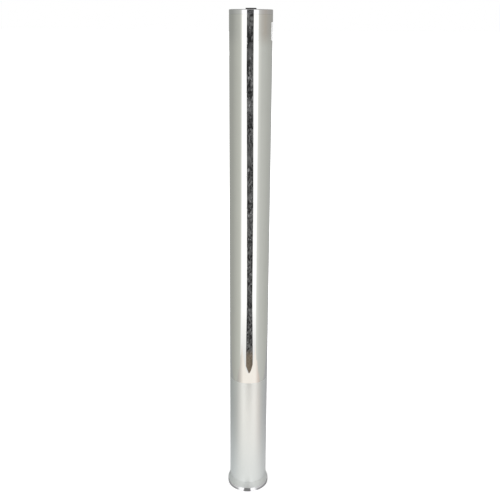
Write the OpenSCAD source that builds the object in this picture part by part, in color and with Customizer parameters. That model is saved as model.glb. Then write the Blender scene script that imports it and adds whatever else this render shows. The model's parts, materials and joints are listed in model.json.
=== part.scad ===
// Retractable bollard: the moving post with its lock and its gas spring.
// Origin at the centre of the base, +Z up, front towards -Y, millimetres.
// The post is drawn lowered onto its foot, with the bolts drawn back and the cover closed.

/* [Post] */
// Height of the cap's flat top above the base
post_height = 962.5; // [900:0.5:1200]
// Outside diameter of the post tube
post_od = 76.1; // [74:0.1:90]
// Wall of the post tube
post_wall = 2.6; // [2:0.1:3.2]

/* [Stop collar] */
// How far the collar stands out from the tube
collar_step = 4.35; // [3:0.05:6]
// Height of the collar's straight edge
collar_rim = 8.5; // [7:0.5:14]
// Height of the collar's sloping shoulder
collar_cone = 11; // [6:0.5:16]
// Thickness of metal under the tube's end
collar_floor = 5.5; // [5:0.5:7]
// How far the collar reaches inward past the tube's bore
collar_lip = 2.45; // [2:0.05:3.5]
// Width of the rubber buffer ring
buffer_width = 4.5; // [3:0.1:5.5]
// Depth of the groove that holds the buffer ring
buffer_depth = 3.5; // [2:0.1:4]
// How far the buffer ring stands proud of the collar
buffer_proud = 0.5; // [0.3:0.1:1]

/* [Head cap] */
// Height of the cap's visible rim
cap_rim = 8; // [6:0.5:12]
// Radius of the cap's rounded edge
cap_round = 1.5; // [0.5:0.1:3]
// Depth of the cap's spigot inside the tube
spigot_depth = 12; // [10:0.5:16]
// Height of the seal on the spigot
seal_height = 3; // [2:0.1:4]
// Depth of the seal's groove
seal_depth = 1.5; // [1:0.1:2]
// Number of cap screws and pillars
screw_count = 3; // [3:1:3]
// Thread diameter of the cap screws
screw_d = 5; // [4:0.5:6]
// Diameter of the countersunk screw heads
screw_head_d = 10; // [9:0.5:11]
// Width across flats of the hex sockets in the cap screws and the cam screw
hex_socket = 3; // [2.5:0.5:4]
// Depth of the hex sockets in the cap screws
hex_socket_depth = 2; // [1.5:0.1:2.5]
// How deep the screws reach into the pillars
screw_reach = 10; // [6:0.5:14]

/* [Lock case] */
// Diameter of the pillars between cap and lock block
pillar_d = 9; // [8:0.5:10]
// Length of the pillars
pillar_length = 40.5; // [36:0.5:60]
// Distance from a pillar's centre to the tube's bore
pillar_inset = 5.95; // [5.5:0.05:7]
// Length of the stud below each pillar
stud_length = 8; // [5:0.5:10]
// Height of the lock block
block_height = 25; // [23:0.5:32]
// Height of the bolts above the block's underside
bolt_height = 13; // [11:0.5:14]
// Thickness of the thrust plate under the block
thrust_thickness = 8; // [6:0.5:12]

/* [Lock] */
// Outside diameter of the lock barrel
barrel_d = 22; // [21:0.5:24]
// Diameter of the barrel's flange
flange_d = 26; // [25:0.5:27]
// Thickness of the barrel's flange
flange_thickness = 2; // [1.5:0.1:3]
// Thickness of the nut that holds the barrel
nut_thickness = 5; // [4:0.5:8]
// Width across flats of that nut
nut_flats = 30; // [28:0.5:34]
// Diameter of the turning plug
plug_d = 14; // [13:0.5:14.5]
// Diameter of the plug's head
plug_head_d = 16; // [15.5:0.5:17]
// Height of the plug's head
plug_head = 3; // [2:0.5:4]
// Distance from the key socket's centre to its corners
socket_corner = 6; // [5.6:0.1:6.2]
// Depth of the key socket
socket_depth = 10; // [6:0.5:16]
// Thickness of the cam disc
cam_thickness = 6; // [5:0.5:8]
// Metal left between the ends of the cam slots and the disc's edge
cam_rim = 3.2; // [2.6:0.1:4]
// Space between the cam disc's edge and the pillars
cam_to_pillars = 1; // [0.5:0.1:1.5]
// Width of the plug's square end
square_width = 8; // [7:0.5:9]
// Diameter of the cam screw's head
cam_screw_head_d = 11; // [10:0.5:12]
// Thickness of the cam screw's head
cam_screw_head = 2.5; // [2:0.5:3]
// Depth of the hex socket in the cam screw
cam_socket_depth = 1.5; // [1:0.1:2]
// Thread diameter of the cam screw
cam_screw_d = 5; // [4:0.5:5]
// How deep the cam screw reaches past the cam disc
cam_screw_reach = 7; // [5:0.5:10]

/* [Bolts] */
// Diameter of the lock bolts
bolt_d = 12; // [11:0.5:13]
// Distance of the follower pins from the centre with the bolts drawn back
pin_start = 9.5; // [9.5:0.1:10]
// Diameter of the follower pins
pin_d = 4; // [3.6:0.1:4.4]
// Length of bolt behind the follower pin's centre
bolt_heel = 5; // [4:0.5:6]
// How far the bolt ends lie inside the tube's surface
bolt_sunk = 0.45; // [0.3:0.05:1]
// Wall of the bushes in the tube round the bolts
bolt_bush_wall = 2; // [1.5:0.1:2.5]

/* [Dust cover] */
// Diameter of the dust cover
cover_d = 19; // [18.5:0.5:22]
// Thickness of the dust cover
cover_thickness = 2.2; // [2.1:0.1:4]
// Radius of the dust cover's rounded edge
cover_round = 0.6; // [0.3:0.1:0.8]
// Distance of the cover's pivot behind the lock's centre
pivot_offset = 16.5; // [16.5:0.1:18]
// Diameter of the cover's ear
ear_d = 9; // [8.5:0.5:10]
// Diameter of the pivot screw
pivot_d = 4; // [3.6:0.1:4.2]
// Diameter of the pivot screw's head
pivot_head_d = 6.6; // [6:0.1:7]
// Height of the pivot screw's head
pivot_head = 1; // [0.8:0.1:1.2]
// Depth of the pivot screw in the cap
pivot_reach = 9; // [6:0.5:12]

/* [Gas spring] */
// Outside diameter of the gas cylinder
cylinder_d = 28; // [26:0.5:32]
// Wall of the gas cylinder
cylinder_wall = 1.5; // [1.2:0.1:2]
// Thickness of the cylinder's closed end
cylinder_end = 6; // [4:0.5:10]
// Diameter of the piston rod
rod_d = 14; // [12:0.5:15]
// Length of rod that shows below the cylinder
rod_bare = 16; // [10:0.5:30]
// Diameter of the rod's threaded ends
rod_stud_d = 10; // [8:0.5:10.5]
// Length of the rod guide
guide_length = 24.5; // [18:0.5:40]
// Thickness of the rod seal
rod_seal_height = 5; // [3:0.5:8]
// Height of the rolled lip under the guide
lip_height = 1.5; // [1:0.1:3]
// Width of the rolled lip
lip_width = 1; // [0.8:0.1:2]
// Length of the piston
piston_length = 18; // [14:0.5:24]
// Height of the piston seal
piston_seal_height = 4; // [3:0.5:6]
// Depth of the piston seal's groove
piston_seal_depth = 2; // [1.5:0.1:2.2]
// Height of the nut above the piston with the rod's end
piston_nut = 7; // [5:0.5:9]
// How far the rod's end stands out of that nut
rod_proud = 0.5; // [0.3:0.1:1.5]
// Width across flats of that nut
piston_nut_flats = 17; // [15:0.5:18]
// Space between the rod's end and the cylinder's closed end
gas_space = 3; // [2:0.5:10]
// Thickness of each centring disc
disc_thickness = 12; // [8:0.5:20]
// Distance of each centring disc from the nearer end of the cylinder
disc_inset = 240; // [232:1:280]

/* [Clevis joints] */
// Diameter of the clevis pins
clevis_pin_d = 10; // [9:0.5:10.5]
// Diameter of the pin heads
clevis_head_d = 14; // [13:0.5:16]
// Thickness of the pin heads
clevis_head = 3; // [2:0.5:4]
// Width of the spring's eyes
eye_width = 10; // [9:0.5:11]
// Outside diameter of the spring's eyes
eye_d = 18; // [17:0.5:20]
// Distance from an eye's centre to the end of its stem
eye_reach = 20; // [18:0.5:26]
// Diameter of the eyes' stems
stem_d = 16; // [15:0.5:18]
// Depth of the thread in an eye's stem
stem_thread = 9; // [7:0.5:9]
// Thickness of each clevis ear
clevis_ear = 5; // [4:0.5:6]
// Space beside the eye on each side
eye_play = 0.5; // [0.3:0.1:0.8]
// Distance of the upper pin below the thrust plate
upper_pin_drop = 14; // [13:0.5:20]
// Thickness of the pin clips
clip_thickness = 1; // [0.8:0.1:1.5]
// Width of the pin clips' ring
clip_ring = 3; // [2:0.1:3.5]
// Length of pin past its clip
clip_margin = 2; // [1:0.1:3]
// Depth of the clip grooves
clip_groove = 0.8; // [0.6:0.1:1]

/* [Foot] */
// Thickness of the foot plate
foot_thickness = 8; // [6:0.5:12]
// Space between the foot plate and the collar's bore
foot_gap = 2; // [1:0.1:3]
// Height of the lower pin above the base
foot_pin_height = 30; // [28:0.5:36]
// Bolt circle of the foot's fixing holes
foot_pcd = 44; // [43:0.5:46]
// Diameter of the foot's fixing holes
foot_hole_d = 9; // [7:0.5:9]

/* [Latch bush] */
// Height of the latch bore above the base
latch_height = 215; // [150:1:280]
// Diameter of the latch bore
latch_bore_d = 14; // [12:0.5:16]
// Wall of the latch bush
latch_wall = 2; // [1.5:0.1:3]
// How far the bush's flange stands out round it
latch_flange = 2; // [1.5:0.1:2.5]
// Thickness of the bush's flange
latch_flange_thickness = 3; // [2:0.5:5]

/* [Blank label] */
// Height of the blank label
label_height = 30; // [20:1:40]
// Length of the label round the tube, in degrees
label_sweep = 75; // [50:1:90]
// Where the label starts, in degrees from the right-hand side
label_from = -23.5; // [-40:0.5:0]
// Distance from the cap's top to the label
label_drop = 20.5; // [14:0.5:22]
// Thickness of the label
label_thickness = 0.2; // [0.15:0.01:0.3]

/* [Fits] */
// Clearance on the radius of welded, pressed and running fits
fit_gap = 0.05; // [0.03:0.01:0.08]
// Clearance between parts that move past each other
free_gap = 0.3; // [0.2:0.05:0.4]
// Clearance on the radius of screw holes
screw_gap = 0.25; // [0.2:0.05:0.4]

/* [Hidden] */
$fn = 96;
ARC_STEPS = 8;
CAM_STEPS = 18;
CAM_TURN = 90;
FRONT = -90;
HEX = 6;
CUT = 1;

post_r = post_od / 2;
bore_r = post_r - post_wall;
collar_r = post_r + collar_step;
collar_bore_r = bore_r - collar_lip;
collar_land = 0.25;
shoulder_z = buffer_proud + collar_rim;
collar_top = shoulder_z + collar_cone;
tube_bottom = buffer_proud + collar_floor;
buffer_r = (post_r + bore_r) / 2;

tube_top = post_height - cap_rim;
spigot_bottom = tube_top - spigot_depth;
block_top = spigot_bottom - pillar_length;
block_bottom = block_top - block_height;
thrust_bottom = block_bottom - thrust_thickness;
bolt_z = block_bottom + bolt_height;
block_r = bore_r - fit_gap;
pillar_at = bore_r - pillar_inset;
cam_r = pillar_at - pillar_d / 2 - cam_to_pillars;
cam_gap = 0.5;
cam_bottom = block_top + cam_gap;
cam_top = cam_bottom + cam_thickness;
cam_slot_r = pin_d / 2 + free_gap;
pin_end = cam_r - cam_rim - cam_slot_r;
bolt_travel = pin_end - pin_start;
head_sunk = 0.2;
screw_sink = (screw_head_d - screw_d) / 2;

barrel_r = barrel_d / 2;
barrel_top = post_height - head_sunk;
barrel_bottom = cam_top + cam_gap;
flange_bottom = barrel_top - flange_thickness;
flange_seal = 1;
plug_r = plug_d / 2;
plug_top = barrel_top - free_gap;
plug_shoulder = plug_top - plug_head;

cover_bottom = post_height + free_gap;
cover_top = cover_bottom + cover_thickness;
pivot_sunk = 0.1;
pivot_seat = cover_top - pivot_head - pivot_sunk;
pivot_play = 0.1;

cylinder_r = cylinder_d / 2;
cylinder_bore_r = cylinder_r - cylinder_wall;
upper_pin_z = thrust_bottom - upper_pin_drop;
cylinder_top = upper_pin_z - eye_reach;
gas_top = cylinder_top - cylinder_end;
rod_bottom = foot_pin_height + eye_reach;
cylinder_bottom = rod_bottom + rod_bare;
guide_bottom = cylinder_bottom + lip_height;
guide_top = guide_bottom + guide_length;
rod_r = rod_d / 2;
rod_top = gas_top - gas_space;
piston_top = rod_top - piston_nut;
piston_bottom = piston_top - piston_length;
stud_r = rod_stud_d / 2;
ear_inner = eye_width / 2 + eye_play;
ear_outer = ear_inner + clevis_ear;
clevis_r = clevis_pin_d / 2;
eye_r = eye_d / 2;
clip_r = clevis_r - clip_groove;
foot_r = collar_bore_r - foot_gap;
latch_r = latch_bore_d / 2;
latch_outer = latch_r + latch_wall;
latch_flange_r = latch_outer + latch_flange;

// Points of an arc about (x, y), from angle a to angle b.
function arc(x, y, r, a, b) =
  [for (i = [0 : ARC_STEPS]) let (t = a + (b - a) * i / ARC_STEPS) [x + r * cos(t), y + r * sin(t)]];

// A ring between two heights.
module ring(outer, inner, bottom, top) {
  translate([0, 0, bottom]) difference() {
    cylinder(h = top - bottom, r = outer);
    translate([0, 0, -CUT]) cylinder(h = top - bottom + 2 * CUT, r = inner);
  }
}

// A round bar between two heights.
module bar(r, bottom, top) {
  translate([0, 0, bottom]) cylinder(h = top - bottom, r = r);
}

// A round bar along X, from x = a to x = b, at height z.
module bar_x(r, a, b, z) {
  translate([a, 0, z]) rotate([0, 90, 0]) cylinder(h = b - a, r = r);
}

// A round bar along Y, from y = a to y = b, at height z.
module bar_y(r, a, b, z) {
  translate([0, b, z]) rotate([90, 0, 0]) cylinder(h = b - a, r = r);
}

// A six-sided bar across flats.
module hex_bar(flats, bottom, top) {
  translate([0, 0, bottom]) cylinder(h = top - bottom, r = flats / sqrt(3), $fn = HEX);
}

// Copies on the cap screws' circle, the first at the front.
module at_screws() {
  for (i = [0 : screw_count - 1])
    rotate(FRONT + i * 360 / screw_count) translate([pillar_at, 0, 0]) children();
}

// A countersunk screw or the hole for one, with its head flush at height top.
module countersunk(gap, top, bottom) {
  head = screw_head_d / 2 + gap;
  shank = screw_d / 2 + gap;
  bar(shank, bottom, top);
  translate([0, 0, top - screw_sink]) cylinder(h = screw_sink, r1 = shank, r2 = head);
}

// ---- Clevis joints, shared by the foot and the thrust plate ----

// Two ears from height z up or down to a pin at height pin_z.
module clevis_ears(z, pin_z) {
  for (side = [-1, 1]) difference() {
    union() {
      translate([-eye_r, side * (ear_inner + ear_outer) / 2 - clevis_ear / 2, min(z, pin_z)])
        cube([eye_d, clevis_ear, abs(pin_z - z)]);
      translate([0, side * (ear_inner + ear_outer) / 2, 0])
        bar_y(eye_r, -clevis_ear / 2, clevis_ear / 2, pin_z);
    }
    bar_y(clevis_r + fit_gap, -ear_outer - CUT, ear_outer + CUT, pin_z);
  }
}

// A headed pin with a clip groove.
module clevis_pin(z) {
  groove = ear_outer + free_gap;
  difference() {
    union() {
      bar_y(clevis_r, -ear_outer, groove + clip_thickness + clip_margin, z);
      bar_y(clevis_head_d / 2, -ear_outer - clevis_head, -ear_outer, z);
    }
    difference() {
      bar_y(clevis_r + CUT, groove, groove + clip_thickness + 2 * fit_gap, z);
      bar_y(clip_r, groove - CUT, groove + clip_thickness + CUT, z);
    }
  }
}

// The open clip that sits in the pin's groove.
module pin_clip(z) {
  front = ear_outer + free_gap + fit_gap;
  inner = clip_r + fit_gap;
  difference() {
    bar_y(inner + clip_ring, front, front + clip_thickness, z);
    bar_y(inner, front - CUT, front + clip_thickness + CUT, z);
    translate([-inner, front - CUT, z - inner - clip_ring - CUT])
      cube([2 * inner, clip_thickness + 2 * CUT, inner + clip_ring + CUT]);
  }
}

// A spring eye at pin height z. Its stem points up (1) or down (-1).
module spring_eye(z, way) {
  end = z + way * eye_reach;
  thread = end - way * stem_thread;
  difference() {
    union() {
      bar_y(eye_r, -eye_width / 2, eye_width / 2, z);
      intersection() {
        bar(stem_d / 2, min(z, end), max(z, end));
        union() {
          translate([-eye_r, -eye_width / 2, min(z, thread)])
            cube([eye_d, eye_width, abs(thread - z)]);
          bar(stem_d / 2, min(thread, end), max(thread, end));
        }
      }
    }
    bar_y(clevis_r + fit_gap, -eye_width, eye_width, z);
    bar(stud_r + fit_gap, min(thread, end + way), max(thread, end + way));
  }
}

// ---- Foot: what stays on the casing's floor ----

module foot_plate() {
  color("dimgray") union() {
    difference() {
      bar(foot_r, 0, foot_thickness);
      for (a = [45 : 90 : 315]) rotate(a) translate([foot_pcd / 2, 0, 0])
        bar(foot_hole_d / 2, -CUT, foot_thickness + CUT);
    }
    clevis_ears(foot_thickness, foot_pin_height);
  }
}

module foot_pin() {
  color("silver") clevis_pin(foot_pin_height);
}

module foot_pin_clip() {
  color("darkgray") pin_clip(foot_pin_height);
}

module rod_eye() {
  color("darkgray") spring_eye(foot_pin_height, 1);
}

module gas_rod() {
  color("lightgray") union() {
    bar(stud_r, rod_bottom - stem_thread, rod_top);
    bar(rod_r, rod_bottom, piston_bottom);
  }
}

module piston() {
  outer = cylinder_bore_r - fit_gap;
  middle = (piston_top + piston_bottom) / 2;
  color("gray") difference() {
    ring(outer, stud_r + fit_gap, piston_bottom, piston_top);
    ring(
      outer + CUT, outer - piston_seal_depth,
      middle - piston_seal_height / 2 - fit_gap, middle + piston_seal_height / 2 + fit_gap
    );
  }
}

module piston_seal() {
  outer = cylinder_bore_r - fit_gap;
  middle = (piston_top + piston_bottom) / 2;
  color("black") ring(
    outer, outer - piston_seal_depth + fit_gap,
    middle - piston_seal_height / 2, middle + piston_seal_height / 2
  );
}

module piston_nut() {
  color("silver") difference() {
    hex_bar(piston_nut_flats, piston_top, rod_top - rod_proud);
    bar(stud_r + fit_gap, piston_top - CUT, rod_top);
  }
}

// ---- Post: the tube and what is fixed in it ----

module post_tube() {
  color("gainsboro") difference() {
    ring(post_r, bore_r, tube_bottom, tube_top);
    bar_x(bolt_d / 2 + bolt_bush_wall + fit_gap, -post_od, post_od, bolt_z);
    bar_y(latch_outer + fit_gap, 0, post_od, latch_height);
  }
}

module stop_collar() {
  seat_r = post_r + fit_gap;
  color("silver") difference() {
    rotate_extrude() polygon([
      [collar_bore_r, buffer_proud], [collar_r, buffer_proud], [collar_r, shoulder_z],
      [seat_r + collar_land, collar_top], [seat_r, collar_top], [seat_r, tube_bottom],
      [collar_bore_r, tube_bottom]
    ]);
    ring(
      buffer_r + buffer_width / 2 + fit_gap, buffer_r - buffer_width / 2 - fit_gap,
      buffer_proud - CUT, buffer_proud + buffer_depth
    );
  }
}

module buffer_ring() {
  color("black") ring(
    buffer_r + buffer_width / 2, buffer_r - buffer_width / 2, 0, buffer_proud + buffer_depth
  );
}

module head_cap() {
  spigot_r = bore_r - fit_gap;
  seal_z = spigot_bottom + spigot_depth / 2;
  color("silver") difference() {
    rotate_extrude() polygon(concat(
      [[0, spigot_bottom], [spigot_r, spigot_bottom], [spigot_r, tube_top], [post_r, tube_top]],
      arc(post_r - cap_round, post_height - cap_round, cap_round, 0, 90),
      [[0, post_height]]
    ));
    bar(barrel_r + fit_gap, spigot_bottom - CUT, post_height);
    bar(flange_d / 2 + screw_gap, flange_bottom, post_height + CUT);
    ring(flange_d / 2, barrel_r - CUT, flange_bottom - flange_seal, flange_bottom + CUT);
    ring(spigot_r + CUT, spigot_r - seal_depth, seal_z - seal_height / 2, seal_z + seal_height / 2);
    at_screws() union() {
      countersunk(screw_gap, post_height - head_sunk + screw_gap, spigot_bottom - CUT);
      bar(screw_head_d / 2 + screw_gap, post_height - head_sunk, post_height + CUT);
    }
    translate([0, pivot_offset, 0])
      bar(pivot_d / 2 + fit_gap, post_height - pivot_reach - CUT, post_height + CUT);
  }
}

module cap_seal() {
  seal_z = spigot_bottom + spigot_depth / 2;
  outer = bore_r - fit_gap;
  color("black") ring(
    outer, outer - seal_depth + fit_gap,
    seal_z - seal_height / 2 + fit_gap, seal_z + seal_height / 2 - fit_gap
  );
}

module cap_screws() {
  color("silver") at_screws() difference() {
    countersunk(0, post_height - head_sunk, spigot_bottom - screw_reach);
    hex_bar(hex_socket, post_height - head_sunk - hex_socket_depth, post_height);
  }
}

module spacer_pillars() {
  color("darkgray") at_screws() difference() {
    union() {
      bar(pillar_d / 2, block_top, spigot_bottom);
      bar(screw_d / 2, block_top - stud_length, block_top);
    }
    bar(screw_d / 2 + fit_gap, spigot_bottom - screw_reach - CUT, spigot_bottom + CUT);
  }
}

module lock_block() {
  slot_from = pin_start - pin_d / 2 - free_gap;
  slot_to = pin_end + pin_d / 2 + free_gap;
  color("slategray") difference() {
    bar(block_r, block_bottom, block_top);
    bar_x(bolt_d / 2 + fit_gap, -post_od, post_od, bolt_z);
    for (side = [-1, 1])
      translate([side * (slot_from + slot_to) / 2, 0, bolt_z + block_height / 2])
        cube([slot_to - slot_from, pin_d + 2 * free_gap, block_height], center = true);
    bar(cam_screw_head_d / 2 + free_gap, block_top - cam_screw_head - free_gap, block_top + CUT);
    at_screws() bar(screw_d / 2 + fit_gap, block_top - stud_length - CUT, block_top + CUT);
  }
}

module thrust_plate() {
  color("dimgray") union() {
    bar(block_r, thrust_bottom, block_bottom);
    clevis_ears(thrust_bottom, upper_pin_z);
  }
}

module bolt_bushes() {
  color("darkgray") for (side = [0, 180]) rotate(side) intersection() {
    difference() {
      bar_x(bolt_d / 2 + bolt_bush_wall, 0, post_od, bolt_z);
      bar_x(bolt_d / 2 + fit_gap, -CUT, post_od + CUT, bolt_z);
    }
    ring(post_r, bore_r, bolt_z - bolt_d, bolt_z + bolt_d);
  }
}

module lock_barrel() {
  color("goldenrod") difference() {
    union() {
      bar(barrel_r, barrel_bottom, barrel_top);
      bar(flange_d / 2, flange_bottom, barrel_top);
    }
    bar(plug_r + fit_gap, barrel_bottom - CUT, barrel_top + CUT);
    bar(plug_head_d / 2 + fit_gap, plug_shoulder, barrel_top + CUT);
  }
}

module barrel_seal() {
  color("black") ring(
    flange_d / 2 - fit_gap, barrel_r + fit_gap, flange_bottom - flange_seal, flange_bottom
  );
}

module barrel_nut() {
  color("goldenrod") difference() {
    hex_bar(nut_flats, spigot_bottom - nut_thickness, spigot_bottom);
    bar(barrel_r + fit_gap, spigot_bottom - nut_thickness - CUT, spigot_bottom + CUT);
  }
}

module cover_pivot() {
  color("silver") translate([0, pivot_offset, 0]) union() {
    bar(pivot_d / 2, post_height - pivot_reach, pivot_seat + pivot_head);
    bar(pivot_head_d / 2, pivot_seat, pivot_seat + pivot_head);
  }
}

module upper_pin() {
  color("silver") clevis_pin(upper_pin_z);
}

module upper_pin_clip() {
  color("darkgray") pin_clip(upper_pin_z);
}

module cylinder_eye() {
  color("darkgray") spring_eye(upper_pin_z, -1);
}

module gas_cylinder() {
  color("black") union() {
    ring(cylinder_r, cylinder_bore_r, cylinder_bottom, gas_top);
    ring(cylinder_r, cylinder_bore_r - lip_width, cylinder_bottom, guide_bottom);
    bar(cylinder_r, gas_top, cylinder_top);
    bar(stud_r, cylinder_top, cylinder_top + stem_thread);
  }
}

module rod_guide() {
  color("gray") ring(cylinder_bore_r - fit_gap, rod_r + fit_gap, guide_bottom, guide_top);
}

module rod_seal() {
  color("black") ring(
    cylinder_bore_r - fit_gap, rod_r + fit_gap, guide_top, guide_top + rod_seal_height
  );
}

module centring_discs() {
  color("ivory")
    for (z = [cylinder_bottom + disc_inset, cylinder_top - disc_inset])
      ring(bore_r - fit_gap, cylinder_r + fit_gap, z - disc_thickness / 2, z + disc_thickness / 2);
}

module latch_bush() {
  flange_face = sqrt(pow(bore_r, 2) - pow(latch_flange_r, 2)) - fit_gap;
  color("darkgray") intersection() {
    difference() {
      union() {
        bar_y(latch_outer, flange_face - latch_flange_thickness, post_od, latch_height);
        bar_y(latch_flange_r, flange_face - latch_flange_thickness, flange_face, latch_height);
      }
      bar_y(latch_r, 0, post_od + CUT, latch_height);
    }
    bar(post_r, latch_height - post_od, latch_height + post_od);
  }
}

module blank_label() {
  top = post_height - label_drop;
  color("white") rotate(label_from) rotate_extrude(angle = label_sweep)
    translate([post_r + fit_gap, top - label_height]) square([label_thickness, label_height]);
}

// ---- Key: what turns with the key ----

module lock_plug() {
  color("darkgoldenrod") difference() {
    union() {
      bar(plug_r, cam_top, plug_top);
      bar(plug_head_d / 2, plug_shoulder + fit_gap, plug_top);
      translate([0, 0, cam_bottom + cam_thickness / 2])
        cube([square_width, square_width, cam_thickness], center = true);
    }
    translate([0, 0, plug_top - socket_depth])
      cylinder(h = socket_depth + CUT, r = socket_corner, $fn = 3);
    bar(cam_screw_d / 2 + fit_gap, cam_bottom - CUT, cam_top + cam_screw_reach + CUT);
  }
}

// Centre of a follower pin in the cam disc after the key has turned by angle t.
function cam_point(t, r) = [r * cos(t), -r * sin(t)];
function cam_radius(t) = pin_start + bolt_travel * t / CAM_TURN;

// One side of the spiral slot, offset from its centre line.
function cam_side(offset) = [
  for (i = [0 : CAM_STEPS]) let (
    t = CAM_TURN * i / CAM_STEPS,
    r = cam_radius(t),
    lean = atan(bolt_travel / (CAM_TURN * PI / 180) / r)
  ) cam_point(t, r) + offset * [cos(t - lean), -sin(t - lean)]
];
function reversed(points) = [for (i = [len(points) - 1 : -1 : 0]) points[i]];

module cam_slot() {
  linear_extrude(height = cam_thickness + 2 * CUT)
    polygon(concat(cam_side(cam_slot_r), reversed(cam_side(-cam_slot_r))));
  for (t = [0, CAM_TURN])
    translate(cam_point(t, cam_radius(t))) cylinder(h = cam_thickness + 2 * CUT, r = cam_slot_r);
}

module cam_disc() {
  hole = square_width + 2 * fit_gap;
  color("gray") difference() {
    bar(cam_r, cam_bottom, cam_top);
    translate([0, 0, cam_bottom + cam_thickness / 2])
      cube([hole, hole, cam_thickness + 2 * CUT], center = true);
    for (side = [0, 180]) rotate(side) translate([0, 0, cam_bottom - CUT]) cam_slot();
  }
}

module cam_screw() {
  head_bottom = cam_bottom - cam_screw_head;
  color("silver") difference() {
    union() {
      bar(cam_screw_d / 2, cam_bottom, cam_top + cam_screw_reach);
      bar(cam_screw_head_d / 2, head_bottom, cam_bottom);
    }
    hex_bar(hex_socket, head_bottom - CUT, head_bottom + cam_socket_depth);
  }
}

// ---- Bolts ----

module lock_bolt() {
  tip = post_r - bolt_sunk;
  color("lightgray") difference() {
    bar_x(bolt_d / 2, pin_start - bolt_heel, tip, bolt_z);
    translate([pin_start, 0, 0]) bar(pin_d / 2 + fit_gap, bolt_z - pin_d, bolt_z + bolt_d);
  }
}

module bolt_pin() {
  color("silver") translate([pin_start, 0, 0])
    bar(pin_d / 2, bolt_z - pin_d, cam_top - cam_gap);
}

module bolt_right() {
  lock_bolt();
}

module bolt_right_pin() {
  bolt_pin();
}

module bolt_left() {
  rotate(180) lock_bolt();
}

module bolt_left_pin() {
  rotate(180) bolt_pin();
}

// ---- Dust cover ----

module dust_cover() {
  disc_r = cover_d / 2;
  ear_r = ear_d / 2;
  lean = asin((disc_r - ear_r) / pivot_offset);
  color([0.12, 0.12, 0.13]) difference() {
    union() {
      rotate_extrude() polygon(concat(
        [[0, cover_bottom], [disc_r, cover_bottom]],
        arc(disc_r - cover_round, cover_top - cover_round, cover_round, 0, 90),
        [[0, cover_top]]
      ));
      translate([0, 0, cover_bottom]) linear_extrude(height = cover_thickness - cover_round)
        polygon([
          disc_r * [cos(lean), sin(lean)],
          [0, pivot_offset] + ear_r * [cos(lean), sin(lean)],
          [0, pivot_offset] + ear_r * [-cos(lean), sin(lean)],
          disc_r * [-cos(lean), sin(lean)]
        ]);
      translate([0, pivot_offset, 0]) bar(ear_r, cover_bottom, cover_top);
    }
    translate([0, pivot_offset, 0]) union() {
      bar(pivot_d / 2 + fit_gap, cover_bottom - CUT, cover_top + CUT);
      bar(pivot_head_d / 2 + free_gap, pivot_seat - pivot_play, cover_top + CUT);
    }
  }
}

foot_plate();
foot_pin();
foot_pin_clip();
rod_eye();
gas_rod();
piston();
piston_seal();
piston_nut();
post_tube();
stop_collar();
buffer_ring();
head_cap();
cap_seal();
cap_screws();
spacer_pillars();
lock_block();
thrust_plate();
bolt_bushes();
lock_barrel();
barrel_seal();
barrel_nut();
cover_pivot();
upper_pin();
upper_pin_clip();
cylinder_eye();
gas_cylinder();
rod_guide();
rod_seal();
centring_discs();
latch_bush();
blank_label();
lock_plug();
cam_disc();
cam_screw();
bolt_right();
bolt_right_pin();
bolt_left();
bolt_left_pin();
dust_cover();
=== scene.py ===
"""Retractable bollard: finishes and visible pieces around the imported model, laid out as an add-on."""

import json
import math

import bmesh
import bpy
from bpy.props import FloatProperty, FloatVectorProperty, IntProperty, PointerProperty
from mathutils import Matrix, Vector


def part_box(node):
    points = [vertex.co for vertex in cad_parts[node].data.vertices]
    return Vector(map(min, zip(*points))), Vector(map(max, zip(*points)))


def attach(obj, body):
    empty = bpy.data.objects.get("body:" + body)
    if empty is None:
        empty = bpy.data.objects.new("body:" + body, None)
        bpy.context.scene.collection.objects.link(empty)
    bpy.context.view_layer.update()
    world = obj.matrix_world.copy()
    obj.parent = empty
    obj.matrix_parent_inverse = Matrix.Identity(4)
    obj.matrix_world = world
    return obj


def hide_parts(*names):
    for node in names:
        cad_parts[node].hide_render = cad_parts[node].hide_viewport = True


bl_info = {
    "name": "Retractable Bollard",
    "version": (1, 0, 0),
    "blender": (4, 5, 0),
    "location": "3D View > Sidebar > Bollard",
    "description": "Dresses a retractable bollard with its finishes and finely shaped outer pieces",
    "category": "Add Mesh",
}

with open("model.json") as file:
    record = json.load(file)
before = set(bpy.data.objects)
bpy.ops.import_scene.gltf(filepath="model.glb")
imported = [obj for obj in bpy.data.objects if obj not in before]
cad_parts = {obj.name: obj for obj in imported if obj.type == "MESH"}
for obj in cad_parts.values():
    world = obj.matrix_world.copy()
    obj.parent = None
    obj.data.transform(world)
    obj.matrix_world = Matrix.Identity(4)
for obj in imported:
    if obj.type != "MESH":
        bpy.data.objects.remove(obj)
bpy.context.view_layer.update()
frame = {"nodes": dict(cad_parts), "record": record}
MM = 0.001
# Points closer together than this are made one.
MERGE = 0.003 * MM
# Gaps: of a close fit, round screws and the lock's flange, and between pieces that move past each other.
FIT = 0.05 * MM
PLAY = 0.25 * MM
FREE = 0.3 * MM
# How far a cutter reaches past the face that it opens.
PAST = MM


# ---- Sizes taken from the frame ----

def radius_of(node):
    """Outside radius of a round upright node whose middle lies at x = 0."""
    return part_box(node)[1].x


def bottom_of(node):
    """Height of a node's underside."""
    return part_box(node)[0].z


def top_of(node):
    """Height of a node's top."""
    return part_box(node)[1].z


def centre_of(node):
    """Middle of a node's box."""
    low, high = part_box(node)
    return (low + high) / 2


POST_R = radius_of("post_tube")
BORE_R = radius_of("thrust_plate") + FIT
TUBE_BOTTOM = bottom_of("post_tube")
TUBE_TOP = top_of("post_tube")
COLLAR_R = radius_of("stop_collar")
COLLAR_TOP = top_of("stop_collar")
CAP_TOP = top_of("head_cap")
BOLT_Z = centre_of("bolt_bushes").z
BOLT_BUSH_R = (top_of("bolt_bushes") - bottom_of("bolt_bushes")) / 2
LATCH_Z = centre_of("latch_bush").z

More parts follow.
